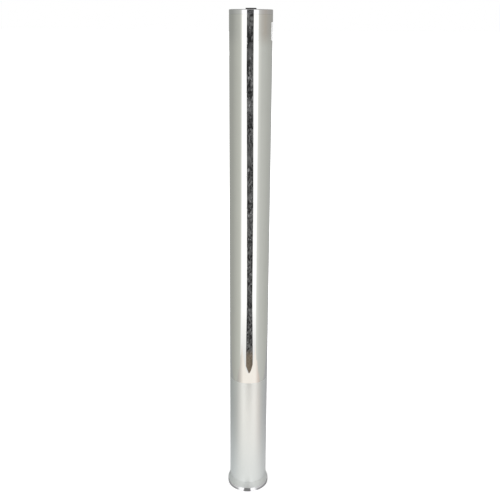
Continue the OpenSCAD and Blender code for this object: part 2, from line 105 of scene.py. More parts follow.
# Sizes that the nodes' boxes don't give.
RIM_TOP = bottom_of("stop_collar") + 8.5 * MM
COLLAR_LIP = 2.45 * MM
BUFFER_WALL = 4.5 * MM
LATCH_BUSH_R = 9 * MM
BARREL_R = 11 * MM
BARREL_FLANGE = 2 * MM
SCREW_R = 2.5 * MM
SCREW_HEAD_R = 5 * MM
PIVOT_R = 2 * MM


# ---- Properties ----

class PostProperties(bpy.types.PropertyGroup):
    """Sizes of the tube's finish and mesh."""

    satin_height: FloatProperty(
        name="Satin height", description="Height up to which the tube is satin and not polished",
        default=0.2565, min=0.05, max=0.9, unit="LENGTH",
    )
    satin_edge: FloatProperty(
        name="Satin edge", description="Width of the change from satin to polished",
        default=0.0009, min=0.0002, max=0.02, unit="LENGTH",
    )
    segments: IntProperty(
        name="Segments", description="Sides of the tube's mesh", default=256, min=64, max=512,
    )


class ColourProperties(bpy.types.PropertyGroup):
    """Colours of the finishes."""

    steel: FloatVectorProperty(
        name="Polished tube", description="Colour that the polished tube reflects",
        subtype="COLOR", size=3, default=(0.80, 0.80, 0.780), min=0, max=1,
    )
    cap_steel: FloatVectorProperty(
        name="Polished cap", description="Colour that the polished cap, screws and collar reflect",
        subtype="COLOR", size=3, default=(0.79, 0.79, 0.80), min=0, max=1,
    )
    satin: FloatVectorProperty(
        name="Satin steel", description="Colour of the satin stainless steel",
        subtype="COLOR", size=3, default=(0.845, 0.868, 0.862), min=0, max=1,
    )
    cover: FloatVectorProperty(
        name="Dust cover", description="Colour of the moulded dust cover",
        subtype="COLOR", size=3, default=(0.018, 0.018, 0.020), min=0, max=1,
    )
    brass: FloatVectorProperty(
        name="Brass", description="Colour of the lock's brass",
        subtype="COLOR", size=3, default=(0.76, 0.56, 0.26), min=0, max=1,
    )
    label: FloatVectorProperty(
        name="Label", description="Colour of the blank label",
        subtype="COLOR", size=3, default=(0.93, 0.93, 0.93), min=0, max=1,
    )


class StudioProperties(bpy.types.PropertyGroup):
    """Camera and light."""

    lens: FloatProperty(
        name="Lens", description="Focal length on a 36 mm sensor, in millimetres",
        default=48.53, min=10, max=300,
    )
    camera_distance: FloatProperty(
        name="Camera distance", description="Level distance from the post's axis to the camera",
        default=1.2313, min=0.3, max=10, unit="LENGTH",
    )
    camera_aside: FloatProperty(
        name="Camera aside", description="How far the camera stands to the right of the post's axis",
        default=0.0011, min=-1, max=1, unit="LENGTH",
    )
    camera_height: FloatProperty(
        name="Camera height", description="Height of the camera above the base",
        default=0.9405, min=0.1, max=10, unit="LENGTH",
    )
    camera_tilt: FloatProperty(
        name="Camera tilt", description="Angle of the camera below level",
        default=math.radians(18.62), subtype="ANGLE", unit="ROTATION",
    )
    camera_roll: FloatProperty(
        name="Camera roll", description="Turn of the camera about its line of sight",
        default=math.radians(0.40), subtype="ANGLE", unit="ROTATION",
    )
    table_edge: FloatProperty(
        name="Table edge", description="Distance from the post to the front edge of the table",
        default=0.541, min=0.1, max=5, unit="LENGTH",
    )
    table_side: FloatProperty(
        name="Table side", description="Distance from the post to each side edge of the table",
        default=0.47, min=0.1, max=5, unit="LENGTH",
    )


GROUPS = {
    "bollard_post": PostProperties,
    "bollard_colours": ColourProperties,
    "bollard_studio": StudioProperties,
}


# ---- Node helper ----

class Tree:
    """Adds nodes to a material or world, and links sockets that are given as inputs."""

    def __init__(self, owner):
        owner.use_nodes = True
        self.tree = owner.node_tree
        self.tree.nodes.clear()

    def add(self, kind, inputs=None, **settings):
        node = self.tree.nodes.new(kind)
        for name, value in settings.items():
            setattr(node, name, value)
        for name, value in (inputs or {}).items():
            self.feed(node.inputs[name], value)
        return node

    def feed(self, socket, value):
        if isinstance(value, bpy.types.NodeSocket):
            self.tree.links.new(value, socket)
        else:
            socket.default_value = value

    def math(self, operation, a, b=None, clamp=False):
        node = self.add("ShaderNodeMath", {0: a}, operation=operation, use_clamp=clamp)
        if b is not None:
            self.feed(node.inputs[1], b)
        return node.outputs[0]

    def remap(self, value, low, high, to_low, to_high, kind="LINEAR"):
        node = self.add(
            "ShaderNodeMapRange",
            {"Value": value, "From Min": low, "From Max": high, "To Min": to_low, "To Max": to_high},
            interpolation_type=kind,
        )
        return node.outputs["Result"]

    def noise(self, vector, scale, detail, roughness=0.5, distortion=0.0):
        node = self.add(
            "ShaderNodeTexNoise",
            {"Vector": vector, "Scale": scale, "Detail": detail, "Roughness": roughness,
             "Distortion": distortion},
        )
        return node.outputs["Fac"]

    def split(self, vector):
        """The X, Y and Z of a vector."""
        return self.add("ShaderNodeSeparateXYZ", {"Vector": vector}).outputs

    def joined(self, x, y):
        """A level vector from its X and Y."""
        return self.add("ShaderNodeCombineXYZ", {"X": x, "Y": y}).outputs["Vector"]

    def length(self, vector):
        return self.add("ShaderNodeVectorMath", {0: vector}, operation="LENGTH").outputs["Value"]

    def stretched(self, vector, scale):
        return self.add("ShaderNodeMapping", {"Vector": vector, "Scale": scale}).outputs["Vector"]

    def mix_value(self, factor, a, b):
        return self.add("ShaderNodeMix", {"Factor": factor, "A": a, "B": b}).outputs["Result"]

    def mix_colour(self, factor, a, b):
        """A mix of two colours. Its sockets go by number, because a mix of values has the same names."""
        node = self.add("ShaderNodeMix", data_type="RGBA")
        for socket, value in ((0, factor), (6, a), (7, b)):
            self.feed(node.inputs[socket], value)
        return node.outputs[2]

    def scaled(self, colour, factor):
        """A colour times a value."""
        first = colour if isinstance(colour, bpy.types.NodeSocket) else colour[:3]
        return self.add(
            "ShaderNodeVectorMath", {0: first, "Scale": factor}, operation="SCALE"
        ).outputs["Vector"]

    def ramp(self, factor, stops):
        """The colour at factor along stops of (place from 0 to 1, colour)."""
        node = self.add("ShaderNodeValToRGB", {"Fac": factor})
        elements = node.color_ramp.elements
        for element, (position, colour) in zip(elements, (stops[0], stops[-1])):
            element.position = position
            element.color = colour
        for position, colour in stops[1:-1]:
            elements.new(position).color = colour
        return node.outputs["Color"]

    def bump(self, height, strength, distance, normal=None):
        inputs = {"Height": height, "Strength": strength, "Distance": distance}
        if normal is not None:
            inputs["Normal"] = normal
        return self.add("ShaderNodeBump", inputs).outputs["Normal"]

    def position(self):
        return self.add("ShaderNodeTexCoord").outputs["Object"]

    def finish(self, shader, kind="ShaderNodeOutputMaterial"):
        output = self.add(kind)
        self.tree.links.new(shader, output.inputs["Surface"])


def opaque(colour):
    """A colour with full alpha."""
    return (*colour[:3], 1.0)


def shade(colour, factor):
    """A colour made darker or lighter, with full alpha."""
    return tuple(min(1.0, c * factor) for c in colour[:3]) + (1.0,)


def grey(level):
    """A neutral colour."""
    return (level, level, level, 1.0)


# ---- Finishes ----

def material(name, build):
    """The finish of this name, built once. The frame's own plain materials keep their names."""
    found = bpy.data.materials.get(f"{name}_finish")
    if found is None:
        found = bpy.data.materials.new(f"{name}_finish")
        build(Tree(found))
    return found


def polished_post(name, steel):
    """Mirror polish above the satin part, with wiping marks, fine scratches and a faint waviness."""
    post = bpy.context.scene.bollard_post
    satin_steel = bpy.context.scene.bollard_colours.satin

    def build(t):
        place = t.position()
        height = t.split(place)["Z"]
        satin = satin_part(t, place, height, post)
        smear = t.noise(t.stretched(place, (1, 1, 0.35)), 95, 7, 0.62, 0.6)
        smear = t.remap(smear, 0.42, 0.78, 0, 1, "SMOOTHSTEP")
        fleck = t.noise(t.stretched(place, (1, 1, 0.5)), 260, 4, 0.7)
        fleck = t.remap(fleck, 0.60, 0.72, 0, 1, "SMOOTHSTEP")
        lines = t.noise(t.stretched(place, (900, 900, 14)), 1, 3, 0.6)
        grain = t.noise(t.stretched(place, (500, 500, 3200)), 1, 4, 0.7)
        wave = t.noise(t.stretched(place, (26, 26, 5)), 1, 2, 0.4)

        mirror_rough = t.math("ADD", t.remap(smear, 0, 1, 0.010, 0.040), t.math("MULTIPLY", fleck, 0.22))
        collar_rough = t.remap(height, COLLAR_TOP, COLLAR_TOP + MM, 0.20, 0)
        satin_rough = t.math("ADD", t.remap(grain, 0.3, 0.7, 0.33, 0.42), collar_rough)

        mirror_colour = t.mix_colour(t.remap(smear, 0, 1, 0, 0.5), opaque(steel), shade(steel, 0.94))
        satin_colour = t.mix_colour(
            t.remap(grain, 0.3, 0.7, 0, 1), opaque(satin_steel), shade(satin_steel, 0.93)
        )
        # Painted shade: the satin colour darkens down the collar's sloping shoulder towards its rim,
        # standing in for the shadow line where shoulder meets rim.
        satin_colour = t.scaled(satin_colour, t.remap(height, RIM_TOP, COLLAR_TOP, 0.90, 1.0))

        normal = t.bump(wave, 0.05, 0.004)
        normal = t.bump(lines, t.remap(satin, 0, 1, 0.010, 0.03), 0.0004, normal)
        normal = t.bump(grain, t.remap(satin, 0, 1, 0.0, 0.10), 0.0003, normal)
        shader = t.add("ShaderNodeBsdfPrincipled", {
            "Base Color": t.mix_colour(satin, mirror_colour, satin_colour), "Metallic": 1.0,
            "Roughness": t.mix_value(satin, mirror_rough, satin_rough), "Normal": normal,
        })
        t.finish(shader.outputs["BSDF"])

    return material(name, build)


def satin_part(t, place, height, post):
    """One from the collar's rim up to the slightly uneven satin edge, and nothing elsewhere."""
    rim_edge = 0.3 * MM
    above_rim = t.remap(height, RIM_TOP, RIM_TOP + rim_edge, 0, 1)
    half = post.satin_edge / 2
    wander = t.remap(t.noise(place, 90, 3), 0, 1, -0.8 * half, 0.8 * half)
    polish = t.remap(
        t.math("ADD", height, wander),
        post.satin_height - half, post.satin_height + half, 0, 1, "SMOOTHSTEP",
    )
    return t.math("SUBTRACT", above_rim, polish, clamp=True)


def turned_metal(name, colour, rough, line_scale=(300, 300, 2600), line_strength=0.05, stain=0.10):
    """Machined or plated metal with tool lines and slight staining."""
    def build(t):
        place = t.position()
        lines = t.noise(t.stretched(place, line_scale), 1, 3, 0.6)
        cloud = t.noise(place, 60, 5, 0.6)
        tone = t.mix_colour(t.remap(cloud, 0.3, 0.7, 0, 1), opaque(colour), shade(colour, 1 - stain))
        roughness = t.math(
            "ADD", t.remap(cloud, 0.3, 0.7, rough * 0.85, rough * 1.15),
            t.remap(lines, 0.3, 0.7, -0.02, 0.02),
        )
        shader = t.add("ShaderNodeBsdfPrincipled", {
            "Base Color": tone, "Metallic": 1.0, "Roughness": roughness,
            "Normal": t.bump(lines, line_strength, 0.0002),
        })
        t.finish(shader.outputs["BSDF"])

    return material(name, build)


def moulded(name, colour, rough, grain, strength, mottle=0.12):
    """Plastic, rubber or paint with a fine texture and a slight mottle."""
    def build(t):
        place = t.position()
        fine = t.noise(place, grain, 3, 0.6)
        cloud = t.noise(place, 75, 4, 0.55)
        tone = t.mix_colour(t.remap(cloud, 0.3, 0.7, 0, 1), opaque(colour), shade(colour, 1 - mottle))
        shader = t.add("ShaderNodeBsdfPrincipled", {
            "Base Color": tone, "Roughness": t.remap(cloud, 0.3, 0.7, rough * 0.9, rough * 1.1),
            "Normal": t.bump(fine, strength, 0.0002),
        })
        t.finish(shader.outputs["BSDF"])

    return material(name, build)


def finishes():
    """Every finish by the record's slot name."""
    colours = bpy.context.scene.bollard_colours
    return {
        "post_stainless": polished_post("post_stainless", colours.steel),
        "polished_stainless": polished_post("polished_stainless", colours.cap_steel),
        "zinc_steel": turned_metal(
            "zinc_steel", (0.60, 0.62, 0.64), 0.34, (900, 900, 900), 0.04, 0.16,
        ),
        "spring_steel": turned_metal("spring_steel", (0.20, 0.20, 0.22), 0.38),
        "hard_chrome": turned_metal(
            "hard_chrome", (0.80, 0.81, 0.82), 0.07, (200, 200, 5200), 0.02, 0.02,
        ),
        "turned_steel": turned_metal("turned_steel", (0.46, 0.47, 0.48), 0.28),
        "block_aluminium": turned_metal("block_aluminium", (0.70, 0.71, 0.73), 0.30),
        "lock_brass": turned_metal("lock_brass", colours.brass, 0.24, (400, 400, 400), 0.04, 0.18),
        "rubber": moulded("rubber", (0.022, 0.022, 0.022), 0.72, 1800, 0.2),
        "black_paint": moulded("black_paint", (0.016, 0.016, 0.018), 0.30, 1400, 0.05),
        "nylon": moulded("nylon", (0.78, 0.76, 0.68), 0.5, 1500, 0.08, 0.06),
        "label_vinyl": moulded("label_vinyl", colours.label, 0.42, 3000, 0.04, 0.02),
        "cover_plastic": moulded("cover_plastic", colours.cover, 0.46, 2600, 0.16),
    }


def dress(piece, slot_name):
    """Gives a piece its only material and names its slot."""
    piece.data.materials.clear()
    piece.data.materials.append(finishes()[slot_name])


# ---- Mesh helpers ----

def mesh_piece(name, bm):
    """A new object from a bmesh."""
    bmesh.ops.recalc_face_normals(bm, faces=bm.faces)
    mesh = bpy.data.meshes.new(name)
    bm.to_mesh(mesh)
    bm.free()
    piece = bpy.data.objects.new(name, mesh)
    bpy.context.scene.collection.objects.link(piece)
    return piece


def smooth(piece, angle):
    """Smooth shading with sharp edges where the surface turns by more than angle degrees."""
    piece.data.shade_smooth()
    piece.data.set_sharp_from_angle(angle=math.radians(angle))


def arc(x, y, r, start, end, steps):
    """Points of an arc about (x, y), angles in degrees."""
    angles = [math.radians(start + (end - start) * i / steps) for i in range(steps + 1)]
    return [(x + r * math.cos(a), y + r * math.sin(a)) for a in angles]


def lathe(profile, segments, centre=(0, 0), closed=True):
    """A turned form from (radius, height) points.

    The last ring is joined to the first, unless the profile starts on the axis or closed is False.
    """
    bm = bmesh.new()
    rings = []
    for r, z in profile:
        if r == 0:
            rings.append([bm.verts.new((*centre, z))])
            continue
        turns = [math.tau * i / segments for i in range(segments)]
        rings.append([
            bm.verts.new((centre[0] + r * math.cos(a), centre[1] + r * math.sin(a), z)) for a in turns
        ])
    pairs = list(zip(rings, rings[1:]))
    if closed and len(rings[0]) > 1:
        pairs.append((rings[-1], rings[0]))
    for low, high in pairs:
        for i in range(segments):
            j = (i + 1) % segments
            corners = [low[i % len(low)], low[j % len(low)], high[j % len(high)], high[i % len(high)]]
            bm.faces.new(list(dict.fromkeys(corners)))
    return bm


def cut(piece, *cutters):
    """Takes the cutters' volume out of a piece, deletes them and cleans the mesh that is left."""
    for cutter in cutters:
        modifier = piece.modifiers.new("cut", "BOOLEAN")
        modifier.operation = "DIFFERENCE"
        modifier.solver = "EXACT"
        modifier.object = cutter
    bpy.context.view_layer.update()
    shaped = bpy.data.meshes.new_from_object(
        piece.evaluated_get(bpy.context.evaluated_depsgraph_get())
    )
    bm = bmesh.new()
    bm.from_mesh(shaped)
    bmesh.ops.remove_doubles(bm, verts=bm.verts, dist=MERGE)
    bmesh.ops.dissolve_degenerate(bm, edges=bm.edges, dist=MERGE)
    bmesh.ops.triangulate(bm, faces=[f for f in bm.faces if len(f.verts) > 4])
    bmesh.ops.dissolve_degenerate(bm, edges=bm.edges, dist=MERGE)
    bm.to_mesh(shaped)
    bm.free()
    piece.modifiers.clear()
    piece.data = shaped
    for cutter in cutters:
        bpy.data.objects.remove(cutter)


def bar(r, start, end, segments=64):
    """A plain round bar from one point to another, which cuts a hole."""
    start, end = Vector(start), Vector(end)
    along = end - start
    bm = bmesh.new()
    bmesh.ops.create_cone(
        bm, cap_ends=True, segments=segments, radius1=r, radius2=r, depth=along.length
    )
    bm.transform(along.to_track_quat("Z", "Y").to_matrix().to_4x4())
    bmesh.ops.translate(bm, verts=bm.verts, vec=(start + end) / 2)
    return mesh_piece("hole", bm)


# ---- Floor, and the surroundings that only shiny surfaces see ----

FLOOR_REACH = 80
SCREEN_R = 3.0
SCREEN_TOP = 2.6
SCREEN_BOTTOM = 0.4 * MM
SCREEN_CLEAR = 0.2 * MM
BRIGHT = grey(1.32)

# Colours round the post, as (degrees from the camera's side, colour). The panels and walls, low and high:
FAR_LOOK = [
    (-180, (0.36, 0.365, 0.345, 1)), (-110, (0.42, 0.43, 0.40, 1)), (-62, (0.60, 0.61, 0.56, 1)),
    (-52, (0.68, 0.69, 0.64, 1)), (-44, BRIGHT), (40, BRIGHT), (44, (0.80, 0.81, 0.77, 1)),
    (62, (0.63, 0.64, 0.61, 1)), (110, (0.52, 0.53, 0.50, 1)), (180, (0.42, 0.42, 0.42, 1)),
]
HIGH_LOOK = [
    (-180, (0.31, 0.315, 0.30, 1)), (-110, (0.375, 0.385, 0.36, 1)), (-62, (0.57, 0.58, 0.54, 1)),
    (-52, (0.68, 0.69, 0.64, 1)), (-44, BRIGHT), (39, BRIGHT), (43, (0.72, 0.72, 0.68, 1)),
    (60, (0.56, 0.54, 0.505, 1)), (80, (0.495, 0.465, 0.42, 1)), (110, (0.44, 0.43, 0.405, 1)),
    (180, (0.36, 0.355, 0.345, 1)),
]
# The table's top, towards its edge, close to the post and right under the collar:
NEAR_LOOK = [
    (-180, (0.33, 0.34, 0.34, 1)), (-110, (0.385, 0.40, 0.395, 1)), (-80, (0.42, 0.42, 0.40, 1)),
    (-62, (0.56, 0.54, 0.51, 1)), (-50, (0.74, 0.70, 0.65, 1)), (-38, (1.00, 0.95, 0.89, 1)),
    (-30, (1.10, 1.05, 0.98, 1)), (40, (1.12, 1.06, 1.00, 1)), (48, (1.00, 0.92, 0.86, 1)),
    (60, (0.78, 0.69, 0.63, 1)), (78, (0.54, 0.51, 0.49, 1)), (100, (0.44, 0.44, 0.45, 1)),
    (180, (0.40, 0.40, 0.41, 1)),
]
CLOSE_LOOK = [
    (-180, (0.50, 0.52, 0.53, 1)), (-90, (0.58, 0.60, 0.60, 1)), (-45, (0.80, 0.81, 0.79, 1)),
    (0, (0.92, 0.92, 0.90, 1)), (45, (0.86, 0.86, 0.84, 1)), (90, (0.62, 0.62, 0.62, 1)),
    (180, (0.50, 0.51, 0.52, 1)),
]
# Right under the collar: painted contact shade at the sides and back, painted highlights brighter than
# white, and a dark middle patch painted in for the dark gap that the rim shows.
UNDER_LOOK = [
    (-180, grey(0.22)), (-130, grey(0.30)), (-90, grey(0.50)), (-60, grey(0.62)), (-34, grey(0.80)),
    (-26, grey(1.3)), (-14, grey(1.3)), (-11.5, grey(0.24)), (7.5, grey(0.24)), (10, grey(1.3)),
    (21, grey(1.3)), (29, grey(0.76)), (60, grey(0.60)), (90, grey(0.44)), (130, grey(0.24)),
    (180, grey(0.20)),
]
COLLAR_SHADOW = [
    (-180, grey(0.5)), (-34, grey(0.5)), (-26, grey(1.0)), (24, grey(1.0)), (32, grey(0.5)),
    (180, grey(0.5)),
]
# The dark gap between the panels, as (way out along floor and wall, degrees of its middle, half its width
# in degrees), then the stretch of the way that the list covers and the degrees that a whole channel holds.
GAP = [
    (-0.64, 4.1, 19.9), (-0.39, 4.1, 19.9), (0.06, 3.4, 15.7), (0.89, 2.3, 17.4), (1.46, -0.7, 18.0),
    (1.80, -3.2, 17.7), (1.84, -3.2, 17.7),
]
GAP_START, GAP_END = -0.65, 1.85
GAP_SPAN = 90
DIM_ROOM = (0.094, 0.095, 0.096, 1)
BROWN_BOARDS = (0.22, 0.18, 0.14, 1)
GLINT = (0.50, 0.50, 0.52, 1)
CEILING = (0.40, 0.40, 0.395, 1)


def around(t, angle, look):
    """The colour that a look has at an angle from the camera's side."""
    turn = t.remap(angle, -math.pi, math.pi, 0, 1)
    return t.ramp(turn, [(0.5 + degrees / 360, colour) for degrees, colour in look])


def paint_surroundings(t, studio):
    """The table's top as far as its edges, and beyond them the panels, gap, walls and ceiling."""
    edge, side = studio.table_edge, studio.table_side
    place = t.position()
    across, depth, height = t.split(place).values()
    toward = t.math("MULTIPLY", depth, -1.0)
    angle = t.math("ARCTAN2", across, toward)
    reach = t.length(t.joined(across, toward))
    way = t.math("ADD", t.math("LOGARITHM", reach, math.e), height)

    room = t.mix_colour(
        in_gap(t, angle, way, reach, edge),
        panels_and_walls(t, angle, reach, height, edge),
        dim_room(t, angle, way, reach, edge),
    )
    overhead = t.math(
        "MULTIPLY", t.remap(height, SCREEN_TOP - 0.1, SCREEN_TOP - 0.05, 0, 1),
        t.remap(reach, 1.6, 2.8, 1, 0),
    )
    room = t.mix_colour(overhead, room, CEILING)

    ragged = t.remap(t.noise(place, 14, 4, 0.6), 0.3, 0.7, -0.03, 0.03)
    aside = t.math("ADD", t.math("ABSOLUTE", across), ragged)
    beyond = t.math(
        "MAXIMUM", t.remap(toward, edge - 0.003, edge + 0.003, 0, 1), t.remap(height, 0.001, 0.01, 0, 1)
    )
    beyond = t.math("MAXIMUM", beyond, t.remap(aside, side - 0.01, side + 0.01, 0, 1))
    colour = t.mix_colour(beyond, table_top(t, angle, reach), room)
    t.finish(t.add("ShaderNodeEmission", {"Color": colour, "Strength": 1.0}).outputs[0])


def table_top(t, angle, reach):
    """The table's top, with the painted contact shade, painted highlights and dark middle streak right
    under the collar that the collar's rim reflects close by.
    """
    near, close, under, shadow = (
        around(t, angle, look) for look in (NEAR_LOOK, CLOSE_LOOK, UNDER_LOOK, COLLAR_SHADOW)
    )
    near = t.mix_colour(t.remap(reach, 0.12, 0.34, 1, 0), near, close)
    shadow = t.mix_value(t.remap(reach, COLLAR_R + 4 * MM, COLLAR_R + 6 * MM, 0, 1), shadow, 1.0)
    return t.mix_colour(t.remap(reach, 0.056, 0.064, 1, 0), near, t.scaled(under, shadow))


def panels_and_walls(t, angle, reach, height, edge):
    """The bright panels and grey walls, held back a little near the table's edge."""
    far, high = around(t, angle, FAR_LOOK), around(t, angle, HIGH_LOOK)
    far = t.mix_colour(t.remap(height, 0.80, 0.88, 0, 1), far, high)
    limit = t.remap(reach, edge, edge + 0.5, 0.92, BRIGHT[0])
    return t.add("ShaderNodeVectorMath", {0: far, 1: limit}, operation="MINIMUM").outputs["Vector"]


def in_gap(t, angle, way, reach, edge):
    """One in the gap between the panels, which narrows to a point at the table's edge, and else nothing."""
    length = GAP_END - GAP_START
    span = math.radians(GAP_SPAN)
    shape = t.split(t.ramp(t.remap(way, GAP_START, GAP_END, 0, 1), [
        ((at - GAP_START) / length, (0.5 + middle / GAP_SPAN, half / GAP_SPAN, 0, 1))
        for at, middle, half in GAP
    ]))
    middle = t.remap(shape["X"], 0, 1, -span / 2, span / 2)
    half = t.math("MULTIPLY", shape["Y"], t.remap(reach, edge - 0.008, edge + 0.040, 0, span))
    away = t.math("ABSOLUTE", t.math("SUBTRACT", angle, middle))
    return t.remap(t.math("SUBTRACT", half, away), -0.012, 0.012, 0, 1)


def dim_room(t, angle, way, reach, edge):
    """What shows in the gap: a dim cluttered room with a few glints, and brown boards next to the table."""
    track = t.joined(t.math("MULTIPLY", angle, 1.5), t.math("MULTIPLY", way, 10.0))
    coarse = t.remap(t.noise(track, 1.0, 2, 0.5), 0.36, 0.64, 0.35, 1.65)
    fine = t.remap(t.noise(track, 4.0, 3, 0.7), 0.36, 0.64, -1.1, 1.1)
    patchy = t.remap(t.noise(track, 0.45, 2, 0.5), 0.38, 0.62, 0.25, 1.15)
    clutter = t.math("MAXIMUM", t.math("ADD", coarse, t.math("MULTIPLY", fine, patchy)), 0.25)
    glint = t.remap(t.noise(track, 2.7, 2, 0.5), 0.63, 0.68, 0, 0.6)
    room = t.mix_colour(glint, t.scaled(DIM_ROOM, clutter), GLINT)
    boards = t.scaled(BROWN_BOARDS, t.remap(clutter, 0.25, 1.75, 0.80, 1.20))
    return t.mix_colour(t.remap(reach, edge + 0.10, edge + 0.15, 1, 0), room, boards)


# ---- Operators ----

class BOLLARD_OT_stage(bpy.types.Operator):
    """Adds the camera, the floor, the surroundings that the polished steel reflects, and the lights"""

    bl_idname = "bollard.stage"
    bl_label = "Stage"

    def execute(self, context):
        scene = context.scene
        studio = scene.bollard_studio
        scene.view_settings.view_transform = "Standard"
        self.camera(scene, studio)
        self.floor()
        self.surroundings(studio)
        self.world(scene)
        self.lights()
        return {"FINISHED"}

    def camera(self, scene, studio):
        data = bpy.data.cameras.new("camera")
        data.lens = studio.lens
        camera = bpy.data.objects.new("camera", data)
        scene.collection.objects.link(camera)
        camera.rotation_mode = "XYZ"
        camera.location = (studio.camera_aside, -studio.camera_distance, studio.camera_height)
        camera.rotation_euler = (math.pi / 2 - studio.camera_tilt, 0, 0)
        camera.rotation_euler.rotate_axis("Z", studio.camera_roll)
        scene.camera = camera

    def floor(self):
        bm = bmesh.new()
        bmesh.ops.create_grid(bm, x_segments=1, y_segments=1, size=FLOOR_REACH)
        floor = mesh_piece("floor", bm)

        def build(t):
            place = t.position()
            paper = t.noise(place, 900, 4, 0.6)
            diffuse = t.add("ShaderNodeBsdfDiffuse", {
                "Color": t.mix_colour(t.remap(paper, 0.3, 0.7, 0, 1), grey(0.90), grey(0.88)),
            })
            seen = t.add("ShaderNodeLightPath").outputs["Is Camera Ray"]
            lift = t.add("ShaderNodeEmission", {
                "Color": grey(1.0),
                "Strength": t.math("MULTIPLY", seen, t.remap(t.length(place), 0.1, 1.0, 0.3, 1.0)),
            })
            both = t.add("ShaderNodeAddShader", {0: diffuse.outputs[0], 1: lift.outputs[0]})
            t.finish(both.outputs[0])

        floor.data.materials.append(material("floor_paper", build))

    def surroundings(self, studio):
        """A low round screen that only shiny surfaces see, open round the post."""
        profile = [
            (COLLAR_R + SCREEN_CLEAR, SCREEN_BOTTOM), (SCREEN_R, SCREEN_BOTTOM),
            (SCREEN_R, SCREEN_TOP), (0, SCREEN_TOP),
        ]
        screen = mesh_piece("surroundings", lathe(profile, 96, closed=False))
        screen.data.materials.append(material("surroundings", lambda t: paint_surroundings(t, studio)))
        for sight in ("camera", "diffuse", "shadow", "transmission", "volume_scatter"):
            setattr(screen, f"visible_{sight}", False)

    def world(self, scene):
        world = bpy.data.worlds.new("world")
        scene.world = world
        t = Tree(world)
        path = t.add("ShaderNodeLightPath")
        seen = t.math("ADD", path.outputs["Is Camera Ray"], path.outputs["Is Glossy Ray"], clamp=True)
        seen = t.math("ADD", seen, path.outputs["Is Transmission Ray"], clamp=True)
        background = t.add("ShaderNodeBackground", {
            "Color": grey(1.0), "Strength": t.remap(seen, 0, 1, 0.55, 1.0),
        })
        t.finish(background.outputs[0], "ShaderNodeOutputWorld")

    def lights(self):
        for name, place, size, power in (
            ("softbox_left", (-1.6, -1.5, 2.0), 1.4, 26),
            ("softbox_right", (1.7, -1.3, 2.1), 1.4, 20),
            ("softbox_top", (0.0, 0.3, 2.6), 1.6, 22),
        ):
            data = bpy.data.lights.new(name, "AREA")
            data.shape = "SQUARE"
            data.size = size
            data.energy = power
            lamp = bpy.data.objects.new(name, data)
            lamp.location = place
            aim = Vector((0, 0, 0.45)) - Vector(place)
            lamp.rotation_mode = "QUATERNION"
            lamp.rotation_quaternion = aim.to_track_quat("-Z", "Y")
            lamp.visible_glossy = False
            bpy.context.scene.collection.objects.link(lamp)


class BOLLARD_OT_post_tube(bpy.types.Operator):
    """Builds the tube, polished above and satin below, with its bolt holes and latch hole"""

    bl_idname = "bollard.post_tube"
    bl_label = "Post tube"

    def execute(self, context):
        ease = 0.25 * MM
        profile = [
            (BORE_R, TUBE_BOTTOM), (POST_R, TUBE_BOTTOM), (POST_R, TUBE_TOP - ease),
            (POST_R - ease, TUBE_TOP), (BORE_R, TUBE_TOP),
        ]
        tube = mesh_piece("tube", lathe(profile, context.scene.bollard_post.segments))
        reach = 1.5 * POST_R
        cut(
            tube,
            bar(BOLT_BUSH_R + FIT, (-reach, 0, BOLT_Z), (reach, 0, BOLT_Z), 96),
            bar(LATCH_BUSH_R + FIT, (0, 0, LATCH_Z), (0, reach, LATCH_Z), 96),
        )
        round_normals(tube, POST_R, BORE_R)
        dress(tube, "post_stainless")
        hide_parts("post_tube")
        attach(tube, "post")
        return {"FINISHED"}


def round_normals(piece, outer, inner):
    """Gives the faces on the tube's two walls the true normals of a cylinder. The others stay flat."""
    mesh = piece.data
    mesh.shade_smooth()
    normals = []
    for polygon in mesh.polygons:
        upright = abs(polygon.normal.z) < 0.05
        for vertex in polygon.vertices:
            place = mesh.vertices[vertex].co
            radial = Vector((place.x, place.y, 0)).normalized()
            facing = polygon.normal.dot(radial)
            distance = place.xy.length
            if upright and facing > 0.9 and abs(distance - outer) < FIT:
                normals.append(radial)
            elif upright and facing < -0.9 and abs(distance - inner) < FIT:
                normals.append(-radial)
            else:
                normals.append(polygon.normal.copy())
    mesh.normals_split_custom_set(normals)


class BOLLARD_OT_stop_collar(bpy.types.Operator):
    """Builds the stop collar with its polished edge and sloping shoulder"""

    bl_idname = "bollard.stop_collar"
    bl_label = "Stop collar"

    def execute(self, context):
        low = bottom_of("stop_collar")
        bore = BORE_R - COLLAR_LIP
        seat = POST_R + FIT
        land = 0.25 * MM
        ease = 0.4 * MM
        ring_out = radius_of("buffer_ring")
        ring_in = ring_out - BUFFER_WALL
        groove = top_of("buffer_ring")
        profile = (
            [(bore, low), (ring_in, low), (ring_in, groove), (ring_out, groove), (ring_out, low)]
            + arc(COLLAR_R - ease, low + ease, ease, -90, 0, 4)
            + arc(COLLAR_R - ease, RIM_TOP - ease * 0.6, ease, 0, 70, 4)
            + [(seat + land, COLLAR_TOP), (seat, COLLAR_TOP), (seat, TUBE_BOTTOM), (bore, TUBE_BOTTOM)]
        )
        collar = mesh_piece("collar", lathe(profile, 256))
        smooth(collar, 24)
        dress(collar, "polished_stainless")
        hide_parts("stop_collar")
        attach(collar, "post")
        return {"FINISHED"}


